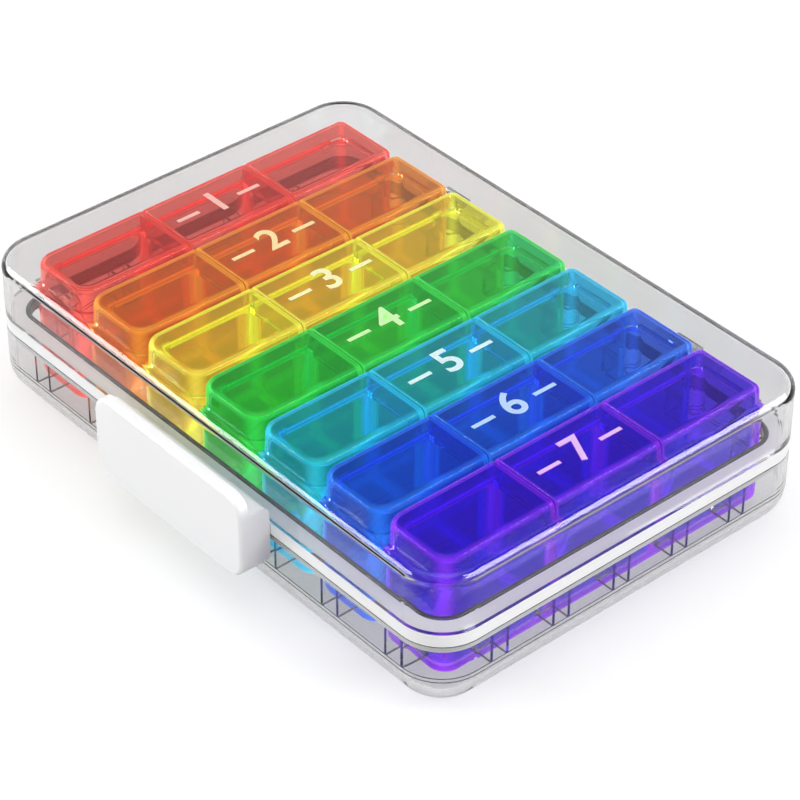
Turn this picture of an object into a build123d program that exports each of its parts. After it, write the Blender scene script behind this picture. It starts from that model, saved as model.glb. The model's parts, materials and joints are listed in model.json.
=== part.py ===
from build123d import *
import os

# Weekly pill organizer: a clear travel case with a white rim and latch, and seven tinted day boxes
# with three snap lids each. Millimetres. The origin is the centre of the tray's underside. X runs
# along the row of day boxes, -Y is the front with the latch, +Y the back with the hinge.

# Day boxes
day_names = ["monday", "tuesday", "wednesday", "thursday", "friday", "saturday", "sunday"]
meal_names = ["morning", "noon", "evening"]
box_width = 22.8
box_gap = 0.6
near_corner_radius = 5.6
far_corner_radius = 2.8
box_wall = 1.3
box_floor = 1.4
box_bottom_radius = 2.6
box_height = 27.1
compartment_length = 33.4
compartment_corner_radius = 3.5
partition = 1.6
scoop_radius = 3.0

# Compartment lids
cover_height = 7.4
cover_wall = 1.2
cover_top = 1.3
cover_draft_angle = 3.1
cover_edge_radius = 2.0
cover_seam_radius = 0.7
cover_inner_radius = 0.6
seam_gap = 0.2
lid_to_lid_gap = 0.3
tab_reach = 1.2
tab_thickness = 0.7
tab_end_inset = 2.6

# Rod that the three lids of a day box turn on
rod_radius = 0.5
rod_press_clearance = 0.03
rod_running_clearance = 0.06
barrel_radius = 0.95
barrel_to_box_gap = 0.25
ear_width = 2.4
ear_gap = 0.3
rod_overhang = 0.6

# Tray, with rails under the boxes, ribs along its long walls and pads along its short ones
tray_wall = 2.0
tray_floor = 2.0
tray_height = 21.5
tray_bottom_radius = 10.6
case_corner_radius = 12.7
rib_width = 6.6
rib_offset = 3.5
rib_wall = 0.8
rail_spread = 6.4
rail_half_length = 45.0
runner_height = 2.5
box_rest_gap = 0.2
rib_end_clearance = 0.4
pad_clearance = 0.5
pad_count = 5
pad_pitch = 19.8
pad_width = 5.8
pad_offset = -2.2

# White rim frame and its clear seal
opening_side_clearance = 1.4
opening_end_clearance = 2.4
seal_width = 1.25
seal_top_reach = 0.4
seal_depth = 3.2
seal_edge_radius = 0.5
flange_width = 5.75
frame_height = 3.7
parting_groove_height = 0.25
parting_groove_depth = 0.8
skirt_depth = 2.5
skirt_thickness = 1.4
skirt_clearance = 0.05
opening_corner_radius = 8.0

# Case lid
lid_wall = 1.8
lid_rest_gap = 0.2
lid_headroom = 0.85
lid_top_radius = 2.9
lid_inner_radius = 1.1

# Hinge at the back of the case
hinge_axis_reach = 3.0
hinge_axis_drop = 1.4
hinge_knuckle_radius = 2.0
hinge_web_rise = 1.8
hinge_station = 45.0
lid_knuckle_width = 9.0
frame_knuckle_width = 6.0
knuckle_gap = 0.3
pin_radius = 0.8
pin_press_clearance = 0.03
pin_running_clearance = 0.06

# Latch at the front of the case
latch_width = 58.6
latch_height = 24.8
latch_top_rise = 10.4
latch_depth = 9.0
latch_plate_thickness = 3.0
latch_corner_radius = 5.6
latch_edge_radius = 1.1
latch_to_wall_gap = 0.2
latch_pin_drop = 7.4
latch_barrel_radius = 2.4
latch_lug_radius = 1.6
latch_lug_width = 4.0
latch_lug_station = 15.0
latch_pin_inset = 0.5
latch_pin_end_grip = 5.0
latch_cheek_width = 3.5
latch_recess_depth = 3.0
latch_recess_roof = 0.8
latch_slot_rise = 1.85
catch_width = 28.0
catch_reach = 1.0
catch_thickness = 1.6
catch_below_rim = 2.7
bead_end_gap = 3.0
bead_to_catch_gap = 0.3
bead_height = 2.0
bead_below_catch = 1.0

# Sizes that follow from the day boxes
box_pitch = box_width + box_gap
box_length = 3 * compartment_length + 2 * partition + 2 * box_wall
seam_pitch = compartment_length + partition
box_bottom_z = tray_floor + runner_height + box_rest_gap
box_top_z = box_bottom_z + box_height
cover_bottom_z = box_top_z + seam_gap
cover_top_z = cover_bottom_z + cover_height
row_length = (len(day_names) - 1) * box_pitch + box_width

# Sizes of the case round them
opening_length = row_length + 2 * opening_side_clearance + 2 * seal_width
opening_width = box_length + 2 * opening_end_clearance + 2 * seal_width
case_length = opening_length + 2 * flange_width
case_width = opening_width + 2 * flange_width
rim_z = tray_height + frame_height
lid_bottom_z = rim_z + lid_rest_gap
lid_top_z = cover_top_z + lid_headroom + lid_wall
skirt_bottom_z = tray_height - skirt_depth
rib_top_z = skirt_bottom_z - lid_rest_gap
rib_foot_z = tray_bottom_radius
catch_top_z = tray_height - catch_below_rim

# Axes
rod_x = barrel_radius - box_width / 2
rod_z = box_top_z + barrel_radius + barrel_to_box_gap
hinge_y = case_width / 2 + hinge_axis_reach
hinge_z = rim_z - hinge_axis_drop
latch_top_z = rim_z + latch_top_rise
latch_back_y = -case_width / 2 - latch_to_wall_gap
latch_pin_y = latch_back_y - latch_barrel_radius
latch_pin_z = latch_top_z - latch_pin_drop


def rounded_block(length, width, radius, bottom_z, height):
    """Upright block with rounded corners in plan, standing at bottom_z."""
    plan = RectangleRounded(length, width, radius)
    return Pos(0, 0, bottom_z) * extrude(plan, amount=height)


def span_block(x_span, y_span, z_span):
    """Plain block between two planes each way."""
    size = [span[1] - span[0] for span in (x_span, y_span, z_span)]
    middle = [(span[1] + span[0]) / 2 for span in (x_span, y_span, z_span)]
    return Pos(*middle) * Box(*size)


def rod_along_y(radius, x, z, y_span):
    """Round bar along Y between two planes."""
    bar = Cylinder(radius, y_span[1] - y_span[0], rotation=(90, 0, 0))
    return Pos(x, (y_span[0] + y_span[1]) / 2, z) * bar


def rod_along_x(radius, y, z, x_span):
    """Round bar along X between two planes."""
    bar = Cylinder(radius, x_span[1] - x_span[0], rotation=(0, 90, 0))
    return Pos((x_span[0] + x_span[1]) / 2, y, z) * bar


def ring(outer_length, outer_width, outer_radius, width, bottom_z, height):
    """Flat ring of one width all round."""
    outside = rounded_block(outer_length, outer_width, outer_radius, bottom_z, height)
    inner_radius = outer_radius - width
    inside = rounded_block(outer_length - 2 * width, outer_width - 2 * width, inner_radius, bottom_z, height)
    return outside - inside


# Day box

end_ear = box_length / 2 - near_corner_radius - ear_gap - ear_width / 2
ear_stations = [-end_ear, -seam_pitch / 2, seam_pitch / 2, end_ear]


def box_plan(inset):
    """Plan of a day box and its lids, moved in by inset: wide near corners and tighter far ones."""
    plan = Rectangle(box_width - 2 * inset, box_length - 2 * inset)
    plan = fillet(plan.vertices().group_by(Axis.Y)[0], near_corner_radius - inset)
    return fillet(plan.vertices().group_by(Axis.Y)[-1], far_corner_radius - inset)


def ear_span(station):
    return (station - ear_width / 2, station + ear_width / 2)


def day_box():
    """Tray of one day: three compartments with scooped floors, and the ears that hold the rod."""
    outside = Pos(0, 0, box_bottom_z) * extrude(box_plan(0), amount=box_height)
    body = fillet(outside.edges().group_by(Axis.Z)[0], box_bottom_radius)
    cavity_width = box_width - 2 * box_wall
    cavity_bottom_z = box_bottom_z + box_floor
    cavity_plan = RectangleRounded(cavity_width, compartment_length, compartment_corner_radius)
    cavity = Pos(0, 0, cavity_bottom_z) * extrude(cavity_plan, amount=box_height)
    cavity = fillet(cavity.edges().group_by(Axis.Z)[0], scoop_radius)
    for place in range(len(meal_names)):
        body -= Pos(0, (place - 1) * seam_pitch, 0) * cavity
    for station in ear_stations:
        ear = rod_along_y(barrel_radius, rod_x, rod_z, ear_span(station))
        foot_x = (rod_x - barrel_radius, rod_x + barrel_radius)
        ear += span_block(foot_x, ear_span(station), (box_top_z - box_wall, rod_z))
        body += ear
    bore_span = (-box_length / 2, box_length / 2)
    body -= rod_along_y(rod_radius + rod_press_clearance, rod_x, rod_z, bore_span)
    return body


def lid_rod():
    """Thin rod through the ears of one day box."""
    end = ear_span(ear_stations[-1])[1] + rod_overhang
    return rod_along_y(rod_radius, rod_x, rod_z, (-end, end))


# Compartment lids


def cover_row_outside():
    """The three lids of a box as one uncut block, drafted and rounded along its top."""
    block = extrude(box_plan(0), amount=cover_height, taper=cover_draft_angle)
    block = Pos(0, 0, cover_bottom_z) * block
    return fillet(block.edges().group_by(Axis.Z)[-1], cover_edge_radius)


def cover_row_inside():
    """Room under the same block, one wall smaller all round."""
    depth = cover_height - cover_top
    block = extrude(box_plan(cover_wall), amount=depth, taper=cover_draft_angle)
    block = Pos(0, 0, cover_bottom_z) * block
    return fillet(block.edges().group_by(Axis.Z)[-1], cover_inner_radius)


def cover_span(place):
    """The stretch of the box that a lid covers, with its half of each seam's gap taken off."""
    low = (place - 1.5) * seam_pitch + lid_to_lid_gap / 2
    high = (place - 0.5) * seam_pitch - lid_to_lid_gap / 2
    if place == 0:
        low = -box_length / 2
    if place == len(meal_names) - 1:
        high = box_length / 2
    return low, high


def compartment_lid(place, outside, inside):
    """One snap lid: shell, hinge barrel with room for the ears, and a thumb tab on the end lids."""
    low, high = cover_span(place)
    wide = (-box_width, box_width)
    tall = (box_bottom_z, lid_top_z)
    lid = outside & span_block(wide, (low, high), tall)
    seam_edges = []
    for seam, is_seam in ((low, place > 0), (high, place < len(meal_names) - 1)):
        if is_seam:
            on_seam = lid.edges().filter_by_position(Axis.Y, seam - 0.01, seam + 0.01)
            seam_edges += [edge for edge in on_seam if edge.center().Z > cover_bottom_z + 0.01]
    lid = fillet(seam_edges, cover_seam_radius)
    room_low = low + (cover_wall if place > 0 else 0)
    room_high = high - (cover_wall if place < len(meal_names) - 1 else 0)
    lid -= inside & span_block(wide, (room_low, room_high), tall)
    # The hinge side ends in a round barrel, so that it turns without touching the box.
    hinge_side = (-box_width, rod_x + barrel_radius + ear_gap)
    lid -= span_block(hinge_side, (low, high), (box_bottom_z, rod_z))
    first_ear = ear_stations[place]
    last_ear = ear_stations[place + 1]
    barrel_span = (first_ear + ear_width / 2 + ear_gap, last_ear - ear_width / 2 - ear_gap)
    lid += rod_along_y(barrel_radius, rod_x, rod_z, barrel_span)
    for station in (first_ear, last_ear):
        notch_y = (station - ear_width / 2 - ear_gap, station + ear_width / 2 + ear_gap)
        lid -= span_block(hinge_side, notch_y, (box_bottom_z, rod_z + barrel_radius + ear_gap))
    lid -= rod_along_y(rod_radius + rod_running_clearance, rod_x, rod_z, (-box_length, box_length))
    if place != 1:
        side = place - 1
        tab_half = box_width / 2 - tab_end_inset
        inner_y = side * (box_length / 2 - cover_wall)
        outer_y = side * (box_length / 2 + tab_reach)
        tab_y = (min(inner_y, outer_y), max(inner_y, outer_y))
        lid += span_block((-tab_half, tab_half), tab_y, (cover_bottom_z, cover_bottom_z + tab_thickness))
    return lid


# Case


def hollow_rib(middle, width, reach):
    """Three thin walls of a rib that stands on the tray's wall: two sides and the face to the boxes."""
    left, right = middle - width / 2, middle + width / 2
    tall = (rib_foot_z, rib_top_z)
    return [
        span_block((left, left + rib_wall), reach, tall),
        span_block((right - rib_wall, right), reach, tall),
        span_block((left, right), (reach[0], reach[0] + rib_wall), tall),
    ]


def base_tray():
    """Clear bottom shell with the rails, ribs and pads that locate the day boxes."""
    outside = rounded_block(case_length, case_width, case_corner_radius, 0, tray_height)
    outside = fillet(outside.edges().group_by(Axis.Z)[0], tray_bottom_radius)
    inner_length = case_length - 2 * tray_wall
    inner_width = case_width - 2 * tray_wall
    inner_radius = case_corner_radius - tray_wall
    inside = rounded_block(inner_length, inner_width, inner_radius, tray_floor, tray_height)
    inside = fillet(inside.edges().group_by(Axis.Z)[0], tray_bottom_radius - tray_wall)
    ribs = []
    for place in range(len(day_names)):
        middle = (place - (len(day_names) - 1) / 2) * box_pitch
        for side in (-1, 1):
            rail_x = middle + side * (rail_spread - rib_wall) / 2
            rail_span = (rail_x - rib_wall / 2, rail_x + rib_wall / 2)
            rail_z = (tray_floor / 2, tray_floor + runner_height)
            ribs.append(span_block(rail_span, (-rail_half_length, rail_half_length), rail_z))
        rib_y = (box_length / 2 + rib_end_clearance, inner_width / 2 + tray_wall / 2)
        for turn, side in ((0, 1), (180, -1)):
            walls = hollow_rib(side * (middle + rib_offset), rib_width, rib_y)
            ribs += [Rot(0, 0, turn) * wall for wall in walls]
    for place in range(pad_count):
        middle = (place - (pad_count - 1) / 2) * pad_pitch + pad_offset
        pad_reach = (row_length / 2 + pad_clearance, inner_length / 2 + tray_wall / 2)
        for turn, side in ((90, 1), (-90, -1)):
            walls = hollow_rib(side * middle, pad_width, pad_reach)
            ribs += [Rot(0, 0, turn) * wall for wall in walls]
    return outside - inside + ribs


def latch_catch():
    """Catch rib on the front wall of the tray, behind the snap bead of the latch."""
    along = (-catch_width / 2, catch_width / 2)
    across = (-case_width / 2 - catch_reach, -case_width / 2)
    rib = span_block(along, across, (catch_top_z - catch_thickness, catch_top_z))
    return fillet(rib.edges().filter_by(Axis.X).group_by(Axis.Y)[0], catch_reach / 3)


def knuckle(x_span, body_y, body_z):
    """Round hinge knuckle with its web to the wall that carries it."""
    barrel = rod_along_x(hinge_knuckle_radius, hinge_y, hinge_z, x_span)
    return barrel + span_block(x_span, body_y, body_z)


def hinge_spans(station):
    """Where the lid's knuckle and the frame's two knuckles lie along the pin."""
    half = lid_knuckle_width / 2
    lid_span = (station - half, station + half)
    left = (lid_span[0] - knuckle_gap - frame_knuckle_width, lid_span[0] - knuckle_gap)
    right = (lid_span[1] + knuckle_gap, lid_span[1] + knuckle_gap + frame_knuckle_width)
    return lid_span, left, right


def rim_frame():
    """White rim: flat flange, outer band, skirt inside the tray wall and the back hinge knuckles."""
    outside = rounded_block(case_length, case_width, case_corner_radius, tray_height, frame_height)
    opening = rounded_block(opening_length, opening_width, opening_corner_radius, tray_height, frame_height)
    frame = outside - opening
    skirt_inset = tray_wall + skirt_clearance
    skirt_radius = case_corner_radius - skirt_inset
    skirt_length = case_length - 2 * skirt_inset
    skirt_width = case_width - 2 * skirt_inset
    frame += ring(skirt_length, skirt_width, skirt_radius, skirt_thickness, skirt_bottom_z, skirt_depth)
    groove_size = (parting_groove_depth, tray_height, parting_groove_height)
    frame -= ring(case_length, case_width, case_corner_radius, *groove_size)
    web_z = (hinge_z - hinge_knuckle_radius, rim_z)
    for station in (-hinge_station, hinge_station):
        for span in hinge_spans(station)[1:]:
            frame += knuckle(span, (case_width / 2 - flange_width / 2, hinge_y), web_z)
        pin_span = (station - lid_knuckle_width * 2, station + lid_knuckle_width * 2)
        frame -= rod_along_x(pin_radius + pin_press_clearance, hinge_y, hinge_z, pin_span)
    return frame


def rim_seal():
    """Clear lip round the opening of the frame."""
    length = opening_length - 2 * skirt_clearance
    width = opening_width - 2 * skirt_clearance
    radius = opening_corner_radius - skirt_clearance
    lip = ring(length, width, radius, seal_width, rim_z + seal_top_reach - seal_depth, seal_depth)
    return fillet(lip.edges().group_by(Axis.Z)[-1], seal_edge_radius)


def latch_lug_spans(extra):
    """Where the two lugs of the case lid lie along the latch pin, with extra room at each side."""
    half = latch_lug_width / 2 + extra
    return [(station - half, station + half) for station in (-latch_lug_station, latch_lug_station)]


def case_lid():
    """Clear cover with the hinge knuckles at the back and the latch lugs at the front."""
    height = lid_top_z - lid_bottom_z
    outside = rounded_block(case_length, case_width, case_corner_radius, lid_bottom_z, height)
    outside = fillet(outside.edges().group_by(Axis.Z)[-1], lid_top_radius)
    inner_length = case_length - 2 * lid_wall
    inner_width = case_width - 2 * lid_wall
    inner_radius = case_corner_radius - lid_wall
    inside = rounded_block(inner_length, inner_width, inner_radius, lid_bottom_z, height - lid_wall)
    inside = fillet(inside.edges().group_by(Axis.Z)[-1], lid_inner_radius)
    lid = outside - inside
    web_top_z = lid_bottom_z + hinge_web_rise
    for station in (-hinge_station, hinge_station):
        lid_span = hinge_spans(station)[0]
        lid += knuckle(lid_span, (hinge_y - hinge_knuckle_radius, hinge_y), (hinge_z, web_top_z))
        lid += span_block(lid_span, (case_width / 2 - lid_wall / 2, hinge_y), (lid_bottom_z, web_top_z))
        lid -= rod_along_x(pin_radius + pin_running_clearance, hinge_y, hinge_z, lid_span)
    for span in latch_lug_spans(0):
        barrel = rod_along_x(latch_lug_radius, latch_pin_y, latch_pin_z, span)
        web_y = (latch_pin_y, -case_width / 2 + lid_wall / 2)
        web_z = (latch_pin_z - latch_lug_radius, latch_pin_z)
        lug = barrel + span_block(span, web_y, web_z)
        lid += lug - rod_along_x(pin_radius + pin_press_clearance, latch_pin_y, latch_pin_z, span)
    return lid


def latch():
    """White snap latch: body with a thin raised lip, a round shoulder at its pin and a snap bead."""
    front_y = latch_back_y - latch_depth
    lip_back_y = front_y + latch_plate_thickness
    bottom_z = latch_top_z - latch_height
    middle_z = (latch_top_z + bottom_z) / 2
    face = Plane(origin=(0, latch_back_y, middle_z), x_dir=(1, 0, 0), z_dir=(0, -1, 0))
    outline = RectangleRounded(latch_width, latch_height, latch_corner_radius)
    body = extrude(face * outline, amount=latch_depth)
    body = fillet(body.edges().group_by(Axis.Y)[0], latch_edge_radius)
    wide = (-latch_width, latch_width)
    shoulder_z = latch_pin_z + latch_barrel_radius
    body -= span_block(wide, (lip_back_y, 0), (shoulder_z, latch_top_z + latch_height))
    above_pin = span_block(wide, (latch_pin_y, 0), (latch_pin_z, latch_top_z + latch_height))
    body -= above_pin - rod_along_x(latch_barrel_radius, latch_pin_y, latch_pin_z, wide)
    recess_half = latch_width / 2 - latch_cheek_width
    recess_y = (latch_back_y - latch_recess_depth, latch_back_y)
    recess_z = (bottom_z - latch_height, latch_pin_z - latch_barrel_radius - latch_recess_roof)
    body -= span_block((-recess_half, recess_half), recess_y, recess_z)
    bead_half = recess_half - bead_end_gap
    bead_tip_y = -case_width / 2 - catch_reach - bead_to_catch_gap
    bead_top_z = catch_top_z - catch_thickness - bead_below_catch
    bead_y = (recess_y[0] - latch_plate_thickness / 2, bead_tip_y)
    bead = span_block((-bead_half, bead_half), bead_y, (bead_top_z - bead_height, bead_top_z))
    body += fillet(bead.edges().filter_by(Axis.X).group_by(Axis.Y)[-1], bead_height / 4)
    for span in latch_lug_spans(knuckle_gap):
        body -= rod_along_x(latch_lug_radius + knuckle_gap, latch_pin_y, latch_pin_z, span)
        web_z = (latch_pin_z - latch_lug_radius - knuckle_gap, latch_pin_z + latch_slot_rise)
        body -= span_block(span, (latch_pin_y, 0), web_z)
    # The bore is closed at the +X end; the pin goes in from the other one.
    bore_span = (-latch_width, latch_pin_end() + latch_pin_inset)
    return body - rod_along_x(pin_radius + pin_running_clearance, latch_pin_y, latch_pin_z, bore_span)


def latch_pin_end():
    """How far the latch pin reaches past the middle of the latch."""
    return latch_lug_spans(0)[-1][1] + latch_pin_end_grip


def latch_pin():
    """Pin through the latch and the lugs of the case lid."""
    start = latch_pin_inset - latch_width / 2
    return rod_along_x(pin_radius, latch_pin_y, latch_pin_z, (start, latch_pin_end()))


def hinge_pin(station):
    """Steel pin through one group of knuckles at the back."""
    lid_span, left, right = hinge_spans(station)
    return rod_along_x(pin_radius, hinge_y, hinge_z, (left[0], right[1]))


# Files

parts = {
    "base_tray": base_tray(),
    "rim_frame": rim_frame(),
    "rim_seal": rim_seal(),
    "case_lid": case_lid(),
    "latch_catch": latch_catch(),
    "latch": latch(),
    "latch_pin": latch_pin(),
    "hinge_pin_left": hinge_pin(-hinge_station),
    "hinge_pin_right": hinge_pin(hinge_station),
}

one_box = day_box()
one_rod = lid_rod()
cover_outside = cover_row_outside()
cover_inside = cover_row_inside()
three_lids = [compartment_lid(place, cover_outside, cover_inside) for place in range(len(meal_names))]

for number, day in enumerate(day_names):
    place = Pos((number - (len(day_names) - 1) / 2) * box_pitch, 0, 0)
    parts[day + "_box"] = place * one_box
    parts[day + "_lid_rod"] = place * one_rod
    for meal, lid in zip(meal_names, three_lids):
        parts[day + "_" + meal + "_lid"] = place * lid

os.makedirs("parts", exist_ok=True)
for name, solid in parts.items():
    export_step(solid, "parts/" + name + ".step")
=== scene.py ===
import json
import math
import bpy
from mathutils import Matrix, Vector

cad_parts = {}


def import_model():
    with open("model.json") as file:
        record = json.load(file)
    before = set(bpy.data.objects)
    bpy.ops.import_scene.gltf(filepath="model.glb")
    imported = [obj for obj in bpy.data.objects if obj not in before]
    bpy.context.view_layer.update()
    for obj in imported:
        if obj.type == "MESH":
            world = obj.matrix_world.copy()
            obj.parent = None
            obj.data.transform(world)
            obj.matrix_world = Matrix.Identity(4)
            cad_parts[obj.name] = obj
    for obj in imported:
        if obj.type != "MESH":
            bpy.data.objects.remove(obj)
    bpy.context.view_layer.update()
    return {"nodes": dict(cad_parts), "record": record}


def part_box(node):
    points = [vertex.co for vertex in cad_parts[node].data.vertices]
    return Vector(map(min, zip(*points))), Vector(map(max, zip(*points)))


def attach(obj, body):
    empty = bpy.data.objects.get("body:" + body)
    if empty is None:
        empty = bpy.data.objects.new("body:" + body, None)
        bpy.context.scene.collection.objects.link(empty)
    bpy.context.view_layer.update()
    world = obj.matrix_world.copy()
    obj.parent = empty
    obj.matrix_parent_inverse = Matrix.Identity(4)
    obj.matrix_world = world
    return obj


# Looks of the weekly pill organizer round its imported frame. Lengths are in metres, written as so many
# millimetres. +X runs along the row of day boxes, -Y is the front with the latch.

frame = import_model()

mm = 0.001
row_axis = (1, 0, 0)
cross_axis = (0, 1, 0)
day_names = ["monday", "tuesday", "wednesday", "thursday", "friday", "saturday", "sunday"]


# Building blocks of the materials

noise_detail = 2.0


def new_material(name):
    """Material with an empty node tree and its output node."""
    material = bpy.data.materials.new(name)
    material.use_nodes = True
    tree = material.node_tree
    tree.nodes.clear()
    output = tree.nodes.new("ShaderNodeOutputMaterial")
    return material, tree, output


def noise_bump(tree, scale, strength, distance):
    """Surface direction with object-space noise in it, for the slight waviness of moulded plastic."""
    coordinates = tree.nodes.new("ShaderNodeTexCoord")
    noise = tree.nodes.new("ShaderNodeTexNoise")
    noise.inputs["Scale"].default_value = scale
    noise.inputs["Detail"].default_value = noise_detail
    bump = tree.nodes.new("ShaderNodeBump")
    bump.inputs["Strength"].default_value = strength
    bump.inputs["Distance"].default_value = distance
    tree.links.new(coordinates.outputs["Object"], noise.inputs["Vector"])
    tree.links.new(noise.outputs["Fac"], bump.inputs["Height"])
    return bump.outputs["Normal"]


def math_node(tree, kind, first, second=0.0):
    """Result of a sum on sockets or numbers."""
    node = tree.nodes.new("ShaderNodeMath")
    node.operation = kind
    for socket, value in zip(node.inputs, (first, second)):
        if isinstance(value, (int, float)):
            socket.default_value = value
        else:
            tree.links.new(value, socket)
    return node.outputs[0]


def mixed(tree, share, first, second):
    """First shader where the share is zero, second shader where it is one."""
    mix = tree.nodes.new("ShaderNodeMixShader")
    tree.links.new(share, mix.inputs["Fac"])
    tree.links.new(first, mix.inputs[1])
    tree.links.new(second, mix.inputs[2])
    return mix.outputs["Shader"]


def added(tree, first, second):
    """Both shaders together."""
    both = tree.nodes.new("ShaderNodeAddShader")
    tree.links.new(first, both.inputs[0])
    tree.links.new(second, both.inputs[1])
    return both.outputs["Shader"]


def ray_kinds(tree):
    """Sockets that are one for a kind of ray and zero for all others."""
    return tree.nodes.new("ShaderNodeLightPath").outputs


def see_through(tree, colour):
    """Plain unbent passing of light."""
    passing = tree.nodes.new("ShaderNodeBsdfTransparent")
    passing.inputs["Color"].default_value = (*colour, 1)
    return passing.outputs["BSDF"]


def object_axes(tree, kind):
    """X, Y and Z of a coordinate: Object for a point's place, Normal for the way its surface faces."""
    coordinates = tree.nodes.new("ShaderNodeTexCoord")
    axes = tree.nodes.new("ShaderNodeSeparateXYZ")
    tree.links.new(coordinates.outputs[kind], axes.inputs[0])
    return axes.outputs


def grained(name, colour, roughness, scale, strength, distance):
    """Opaque material with a fine grain, and its shader node."""
    material, tree, output = new_material(name)
    solid = tree.nodes.new("ShaderNodeBsdfPrincipled")
    solid.inputs["Base Color"].default_value = (*colour, 1)
    solid.inputs["Roughness"].default_value = roughness
    tree.links.new(noise_bump(tree, scale, strength, distance), solid.inputs["Normal"])
    tree.links.new(solid.outputs["BSDF"], output.inputs["Surface"])
    return material, solid


# Clear and tinted plastic

plastic_ior = 1.4
mirror_tint = (0.3, 0.3, 0.3)
wave_scale = 40
wave_depth = 0.3 * mm
box_wave = 0.01

# Painted edge glow: emission in the box's tint on its rounded edges.
painted_edge_glow_strength = 0.28
edge_peak = 0.25

# Painted glow: emission inside the tinted plastic, which is no lamp. The first number is also the density
# of the plastic's real absorption.
absorption_and_painted_glow_density = 95.0
painted_glow_gain = 1.3
painted_glow_strength = absorption_and_painted_glow_density * painted_glow_gain
painted_glow_on_matte = 0.3

# Painted shade: a dark line round the tray's walls just above its rounded bottom, and dark upper faces on
# the seal.
line_height = 10.5 * mm
line_width = 0.35 * mm
line_share = 0.85
upright_limit = 0.2
painted_shade_colour = (0.02, 0.02, 0.022)
painted_shade_roughness = 0.3


def painted_edge_glow(tree):
    """Painted edge glow: emission strength that peaks half way round a fillet and is zero on flat faces,
    read from the way the surface faces.
    """
    facing = object_axes(tree, "Normal")
    squares = [math_node(tree, "MULTIPLY", facing[axis], facing[axis]) for axis in "XYZ"]
    tilt = math_node(tree, "MULTIPLY", squares[2], math_node(tree, "SUBTRACT", 1.0, squares[2]))
    corner = math_node(tree, "MULTIPLY", squares[0], squares[1])
    return math_node(tree, "MULTIPLY", math_node(tree, "ADD", tilt, corner), painted_edge_glow_strength / edge_peak)


def mix_painted_shade(tree, seen, share):
    """Mixes a dark glossy surface over what is seen, by the given share, as painted shade."""
    painted_shade = tree.nodes.new("ShaderNodeBsdfPrincipled")
    painted_shade.inputs["Base Color"].default_value = (*painted_shade_colour, 1)
    painted_shade.inputs["Roughness"].default_value = painted_shade_roughness
    return mixed(tree, share, seen, painted_shade.outputs["BSDF"])


def painted_dark_line(tree, seen):
    """Painted shade: a dark line on the tray's upright walls where they meet the rounded bottom, standing
    in for the dark edge seen there.
    """
    height = object_axes(tree, "Object")["Z"]
    over = math_node(tree, "GREATER_THAN", height, line_height)
    under = math_node(tree, "LESS_THAN", height, line_height + line_width)
    slope = math_node(tree, "ABSOLUTE", object_axes(tree, "Normal")["Z"])
    upright = math_node(tree, "LESS_THAN", slope, upright_limit)
    band = math_node(tree, "MULTIPLY", math_node(tree, "MULTIPLY", over, under), upright)
    return mix_painted_shade(tree, seen, math_node(tree, "MULTIPLY", band, line_share))


def painted_seal_shade(tree, seen):
    """Painted shade: dark glossy upper faces of the seal, which is clear from the side."""
    rise = object_axes(tree, "Normal")["Z"]
    return mix_painted_shade(tree, seen, math_node(tree, "GREATER_THAN", rise, 1 - upright_limit))


def add_painted_glow(tree, inside, painted_glow):
    """Adds painted glow, emission inside the tinted plastic though it is no lamp, weaker for what falls on
    matte surfaces.
    """
    light = tree.nodes.new("ShaderNodeEmission")
    light.inputs["Color"].default_value = (*painted_glow, 1)
    level = tree.nodes.new("ShaderNodeMapRange")
    level.inputs["To Min"].default_value = painted_glow_strength
    level.inputs["To Max"].default_value = painted_glow_strength * painted_glow_on_matte
    tree.links.new(ray_kinds(tree)["Is Diffuse Ray"], level.inputs["Value"])
    tree.links.new(level.outputs["Result"], light.inputs["Strength"])
    return added(tree, inside, light.outputs["Emission"])


def clear_plastic(name, tint, lamp_tint, bounce_tint, absorption, density,
                  painted_glow=None, wave=0.0, painted_shade=None, edge_glow_colour=None):
    """Clear plastic: refracting for what is seen, plain and tinted for the light that falls through it."""
    material, tree, output = new_material(name)
    solid = tree.nodes.new("ShaderNodeBsdfPrincipled")
    solid.inputs["Base Color"].default_value = (*tint, 1)
    solid.inputs["Transmission Weight"].default_value = 1.0
    solid.inputs["Roughness"].default_value = 0.0
    solid.inputs["IOR"].default_value = plastic_ior
    solid.inputs["Specular Tint"].default_value = (*mirror_tint, 1)
    if wave > 0:
        tree.links.new(noise_bump(tree, wave_scale, wave, wave_depth), solid.inputs["Normal"])
    # Painted edge glow on the rounded edges.
    if edge_glow_colour is not None:
        solid.inputs["Emission Color"].default_value = (*edge_glow_colour, 1)
        tree.links.new(painted_edge_glow(tree), solid.inputs["Emission Strength"])
    seen = solid.outputs["BSDF"]
    # Painted shade mixed over the seen surface, where a function for it is given.
    if painted_shade is not None:
        seen = painted_shade(tree, seen)
    kinds = ray_kinds(tree)
    surface = mixed(tree, kinds["Is Shadow Ray"], seen, see_through(tree, lamp_tint))
    surface = mixed(tree, kinds["Is Diffuse Ray"], surface, see_through(tree, bounce_tint))
    tree.links.new(surface, output.inputs["Surface"])
    absorbing = tree.nodes.new("ShaderNodeVolumeAbsorption")
    absorbing.inputs["Color"].default_value = (*absorption, 1)
    absorbing.inputs["Density"].default_value = density
    inside = absorbing.outputs["Volume"]
    # Painted glow inside the plastic.
    if painted_glow is not None:
        inside = add_painted_glow(tree, inside, painted_glow)
    tree.links.new(inside, output.inputs["Volume"])
    return material


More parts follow.
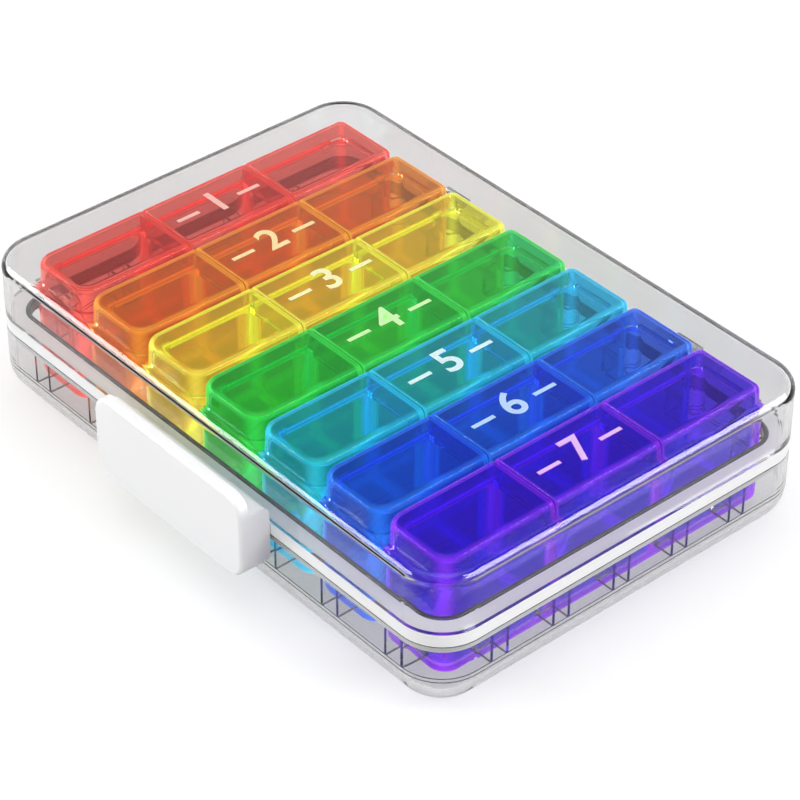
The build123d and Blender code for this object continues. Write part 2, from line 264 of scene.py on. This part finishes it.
clear_tint = (0.95, 0.95, 0.95)
clear_absorption = (0.4, 0.4, 0.4)
clear_density = 100.0
seal_tint = (0.8, 0.8, 0.82)
seal_passing = (0.9, 0.9, 0.9)
seal_absorption = (0.3, 0.3, 0.32)
seal_density = 500.0
box_lamp_tint = (0.97, 0.97, 0.97)
rod_passing = (0.93, 0.93, 0.93)
nothing = (0, 0, 0)


def clear_case(name, painted_shade=None):
    """Clear plastic of the tray and the case lid."""
    return clear_plastic(name, clear_tint, clear_tint, clear_tint, clear_absorption, clear_density,
                         painted_shade=painted_shade)


def clear_seal(name):
    """Clear soft plastic of the seal, with painted shade on its upper faces."""
    return clear_plastic(name, seal_tint, seal_passing, seal_passing, seal_absorption, seal_density,
                         painted_shade=painted_seal_shade)


def tinted_box(name, tint, painted_glow, edge_glow_colour, passed):
    """Tinted plastic of a day box and its lids, with painted glow inside it and on its rounded edges. The
    share that passes inside isn't given off as painted glow.
    """
    bounce = tuple(value ** 0.5 for value in tint)
    left = tuple(value * (1 - share) for value, share in zip(painted_glow, passed))
    return clear_plastic(name, tint, box_lamp_tint, bounce, passed, absorption_and_painted_glow_density,
                         painted_glow=left, wave=box_wave, edge_glow_colour=edge_glow_colour)


def tinted_rod(name, tint):
    """Tinted plastic of a lid rod, without painted glow."""
    return clear_plastic(name, tint, rod_passing, rod_passing, nothing, 0.0)


# White plastic and steel

white_colour = (0.93, 0.93, 0.94)
steel_colour = (0.62, 0.62, 0.64)


def white_plastic(name):
    """Moulded white plastic with a fine satin grain."""
    material, solid = grained(name, white_colour, roughness=0.32,
                              scale=900, strength=0.08, distance=0.05 * mm)
    solid.inputs["IOR"].default_value = 1.46
    solid.inputs["Specular IOR Level"].default_value = 0.4
    return material


def steel(name):
    """Drawn steel wire with a faint grain."""
    material, solid = grained(name, steel_colour, roughness=0.28,
                              scale=1500, strength=0.1, distance=0.02 * mm)
    solid.inputs["Metallic"].default_value = 1.0
    return material


# Colours of the day boxes, in the order of the days

tints = {
    "red_tint": (0.90, 0.42, 0.38),
    "orange_tint": (0.84, 0.48, 0.22),
    "yellow_tint": (0.91, 0.93, 0.30),
    "green_tint": (0.14, 0.74, 0.45),
    "cyan_tint": (0.20, 0.70, 0.90),
    "blue_tint": (0.27, 0.43, 0.87),
    "violet_tint": (0.27, 0.22, 0.90),
}
# Colours of the painted glow inside each box.
painted_glow_colours = {
    "red_tint": (0.82, 0.07, 0.05),
    "orange_tint": (0.88, 0.42, 0.03),
    "yellow_tint": (0.84, 0.80, 0.08),
    "green_tint": (0.20, 0.75, 0.10),
    "cyan_tint": (0.03, 0.58, 0.80),
    "blue_tint": (0.02, 0.15, 0.83),
    "violet_tint": (0.62, 0.02, 0.72),
}
# Colours of the painted glow on each box's rounded edges.
painted_edge_glow_colours = {
    "red_tint": (0.90, 0.08, 0.06),
    "orange_tint": (0.90, 0.44, 0.04),
    "yellow_tint": (0.84, 0.84, 0.12),
    "green_tint": (0.05, 0.76, 0.12),
    "cyan_tint": (0.04, 0.62, 0.86),
    "blue_tint": (0.03, 0.28, 0.95),
    "violet_tint": (0.42, 0.05, 0.88),
}
passed_inside = {
    "green_tint": (0.7, 0, 0),
    "violet_tint": (0.7, 0, 0),
}

materials = {
    "clear_shell": clear_case("clear_shell"),
    "clear_tray": clear_case("clear_tray", painted_shade=painted_dark_line),
    "clear_seal": clear_seal("clear_seal"),
    "white_plastic": white_plastic("white_plastic"),
    "steel_pin": steel("steel_pin"),
}
for slot_name, tint in tints.items():
    materials[slot_name] = tinted_box(slot_name, tint, painted_glow_colours[slot_name], painted_edge_glow_colours[slot_name],
                                      passed_inside.get(slot_name, nothing))
    materials[slot_name + "_rod"] = tinted_rod(slot_name + "_rod", tint)


def dress(node_name, material):
    """Gives a node of the frame its material."""
    slots = frame["nodes"][node_name].data.materials
    slots.clear()
    slots.append(material)


for part in frame["record"]["subparts"]:
    ending = "_rod" if part["node"].endswith("_lid_rod") else ""
    slot_name = "clear_tray" if part["node"] == "base_tray" else part["material_slot"] + ending
    dress(part["node"], materials[slot_name])


# Day numbers on the middle lids

number_size = 13.0 * mm
rim_grow = 0.2 * mm
fill_grow = 0.05 * mm
print_thickness = 0.08 * mm
# Strength of the painted glow of the printed numbers.
ink_painted_glow = 0.3
dash = "\u2013"

ink_fill = {
    "red_tint": (1.0, 0.50, 0.43),
    "orange_tint": (1.0, 0.78, 0.36),
    "yellow_tint": (1.0, 0.97, 0.50),
    "green_tint": (0.62, 0.98, 0.45),
    "cyan_tint": (0.72, 0.97, 1.0),
    "blue_tint": (0.52, 0.68, 1.0),
    "violet_tint": (0.80, 0.55, 1.0),
}
ink_rim = {
    "red_tint": (1.0, 0.64, 0.55),
    "orange_tint": (1.0, 0.88, 0.46),
    "yellow_tint": (1.0, 1.0, 0.62),
    "green_tint": (0.78, 1.0, 0.58),
    "cyan_tint": (0.90, 1.0, 1.0),
    "blue_tint": (0.42, 0.80, 1.0),
    "violet_tint": (1.0, 0.34, 0.92),
}


def ink(name, colour):
    """Printed ink with a slightly uneven film, and a painted glow in the ink's own colour."""
    material, solid = grained(name, colour, roughness=0.45,
                              scale=700, strength=0.1, distance=0.05 * mm)
    solid.inputs["Emission Color"].default_value = (*colour, 1)
    solid.inputs["Emission Strength"].default_value = ink_painted_glow
    return material


def printed_mark(name, text, grow, bottom, middle):
    """Flat printed number on top of a lid, read along +Y with its top towards -X."""
    curve = bpy.data.curves.new(name + "_outline", "FONT")
    curve.body = text
    curve.align_x = "CENTER"
    curve.align_y = "CENTER"
    curve.size = number_size
    curve.offset = grow
    curve.extrude = print_thickness / 2
    source = bpy.data.objects.new(name + "_outline", curve)
    bpy.context.scene.collection.objects.link(source)
    bpy.context.view_layer.update()
    mesh = bpy.data.meshes.new_from_object(source.evaluated_get(bpy.context.evaluated_depsgraph_get()))
    bpy.data.objects.remove(source)
    turn = Matrix.Rotation(math.pi / 2, 4, "Z")
    mesh.transform(Matrix.Translation((middle.x, middle.y, bottom + print_thickness / 2)) @ turn)
    mark = bpy.data.objects.new(name, mesh)
    bpy.context.scene.collection.objects.link(mark)
    return mark


layers = [("rim", rim_grow, ink_rim), ("fill", fill_grow, ink_fill)]
for number, (day, slot_name) in enumerate(zip(day_names, tints), start=1):
    low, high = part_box(day + "_noon_lid")
    middle = Vector(((low.x + high.x) / 2, (low.y + high.y) / 2, high.z))
    for level, (layer, grow, colours) in enumerate(layers):
        mark = printed_mark(f"{day}_number_{layer}", f"{dash} {number} {dash}", grow,
                            middle.z + level * print_thickness, middle)
        mark.data.materials.append(ink(f"{day}_ink_{layer}", colours[slot_name]))
        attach(mark, day + "_noon_lid")


# Studio

floor_gap = 0.3 * mm
floor_half = 4.0
floor_grey = 0.56
floor_lift = 0.54
backdrop_top = 0.50
dome_start = 0.62
dome_grey = 0.18


def floor():
    """Pale floor that looks white wherever it isn't shaded."""
    mesh = bpy.data.meshes.new("floor")
    corners = [(-floor_half, -floor_half, 0), (floor_half, -floor_half, 0),
               (floor_half, floor_half, 0), (-floor_half, floor_half, 0)]
    mesh.from_pydata(corners, [], [(0, 1, 2, 3)])
    ground = bpy.data.objects.new("floor", mesh)
    ground.location.z = -floor_gap
    bpy.context.scene.collection.objects.link(ground)
    material, tree, output = new_material("floor")
    matte = tree.nodes.new("ShaderNodeBsdfDiffuse")
    matte.inputs["Color"].default_value = (floor_grey, floor_grey, floor_grey, 1)
    lift = tree.nodes.new("ShaderNodeEmission")
    lift.inputs["Color"].default_value = (1, 1, 1, 1)
    kinds = ray_kinds(tree)
    seen = math_node(tree, "MAXIMUM", kinds["Is Camera Ray"], kinds["Is Glossy Ray"])
    seen = math_node(tree, "MAXIMUM", seen, kinds["Is Transmission Ray"])
    tree.links.new(math_node(tree, "MULTIPLY", seen, floor_lift), lift.inputs["Strength"])
    both = added(tree, matte.outputs["BSDF"], lift.outputs["Emission"])
    tree.links.new(both, output.inputs["Surface"])
    mesh.materials.append(material)


def world():
    """White backdrop low down, and a darker soft dome above it."""
    made = bpy.data.worlds.new("studio")
    bpy.context.scene.world = made
    made.use_nodes = True
    tree = made.node_tree
    tree.nodes.clear()
    output = tree.nodes.new("ShaderNodeOutputWorld")
    dome = tree.nodes.new("ShaderNodeBackground")
    dome.inputs["Strength"].default_value = 1.0
    ramp = tree.nodes.new("ShaderNodeValToRGB")
    low_end, high_end = ramp.color_ramp.elements
    low_end.position = backdrop_top
    low_end.color = (1, 1, 1, 1)
    high_end.position = dome_start
    high_end.color = (dome_grey, dome_grey, dome_grey, 1)
    tree.links.new(object_axes(tree, "Generated")["Z"], ramp.inputs["Fac"])
    tree.links.new(ramp.outputs["Color"], dome.inputs["Color"])
    tree.links.new(dome.outputs["Background"], output.inputs["Surface"])


def placed(holder, x_axis, y_axis, z_axis, origin):
    """Puts a lamp or camera in the scene with the given axes."""
    columns = (x_axis, y_axis, z_axis, origin)
    rows = [tuple(column[index] for column in columns) for index in range(3)]
    holder.matrix_world = Matrix((*rows, (0, 0, 0, 1)))
    bpy.context.scene.collection.objects.link(holder)


def direction(azimuth, elevation):
    """Direction away from the object. Azimuth 0 is in front, 90 degrees on the +X side."""
    turn, rise = math.radians(azimuth), math.radians(elevation)
    return Vector((math.sin(turn) * math.cos(rise), -math.cos(turn) * math.cos(rise), math.sin(rise)))


def softbox(name, azimuth, elevation, distance, long_axis, length, width, radiance, on_matte=True):
    """Rectangular lamp that faces the object."""
    lamp = bpy.data.lights.new(name, "AREA")
    lamp.shape = "RECTANGLE"
    lamp.size = length
    lamp.size_y = width
    lamp.energy = radiance * math.pi * width * length
    holder = bpy.data.objects.new(name, lamp)
    holder.visible_diffuse = on_matte
    holder.visible_transmission = on_matte
    away = direction(azimuth, elevation)
    across = away.cross(Vector(long_axis)).normalized()
    placed(holder, across.cross(away), across, away, away * distance)


# Camera of the photograph

camera_azimuth = 49.066
camera_elevation = 37.348
camera_roll = math.radians(0.244)
camera_distance = 796.8 * mm
focal_pixels = 3090.6
photo_pixels = 800
aim_height = 20 * mm
aim_right = 3.105 * mm
aim_down = 4.409 * mm


def camera():
    """Camera at the photograph's angle and distance."""
    back = direction(camera_azimuth, camera_elevation)
    level_right = Vector((0, 0, 1)).cross(back).normalized()
    level_up = back.cross(level_right)
    right = level_right * math.cos(camera_roll) + level_up * math.sin(camera_roll)
    up = level_up * math.cos(camera_roll) - level_right * math.sin(camera_roll)
    target = Vector((0, 0, aim_height)) + right * aim_right - up * aim_down
    view = bpy.data.cameras.new("photo_camera")
    view.sensor_width = 36
    view.lens = view.sensor_width * focal_pixels / photo_pixels
    view.clip_start = 0.05
    view.clip_end = 20
    holder = bpy.data.objects.new("photo_camera", view)
    placed(holder, right, up, back, target + back * camera_distance)
    bpy.context.scene.camera = holder


floor()
world()
softbox("overhead_softbox", azimuth=0, elevation=88, distance=1.2, long_axis=row_axis,
        length=1.2, width=1.2, radiance=1.05)
softbox("right_strip", azimuth=118, elevation=37, distance=1.2, long_axis=cross_axis,
        length=0.7, width=0.25, radiance=10.0)
softbox("left_strip", azimuth=-40, elevation=31, distance=1.2, long_axis=row_axis,
        length=0.7, width=0.25, radiance=9.5)
softbox("right_gleam", azimuth=130, elevation=37, distance=1.3, long_axis=cross_axis,
        length=1.1, width=0.85, radiance=42.0, on_matte=False)
softbox("left_gleam", azimuth=-45, elevation=31, distance=1.3, long_axis=row_axis,
        length=1.1, width=0.70, radiance=34.0, on_matte=False)
camera()

scene = bpy.context.scene
scene.view_settings.view_transform = "Standard"
scene.cycles.max_bounces = 40
scene.cycles.transmission_bounces = 40
scene.cycles.glossy_bounces = 5
scene.cycles.transparent_max_bounces = 40
scene.cycles.caustics_reflective = False
scene.cycles.caustics_refractive = False
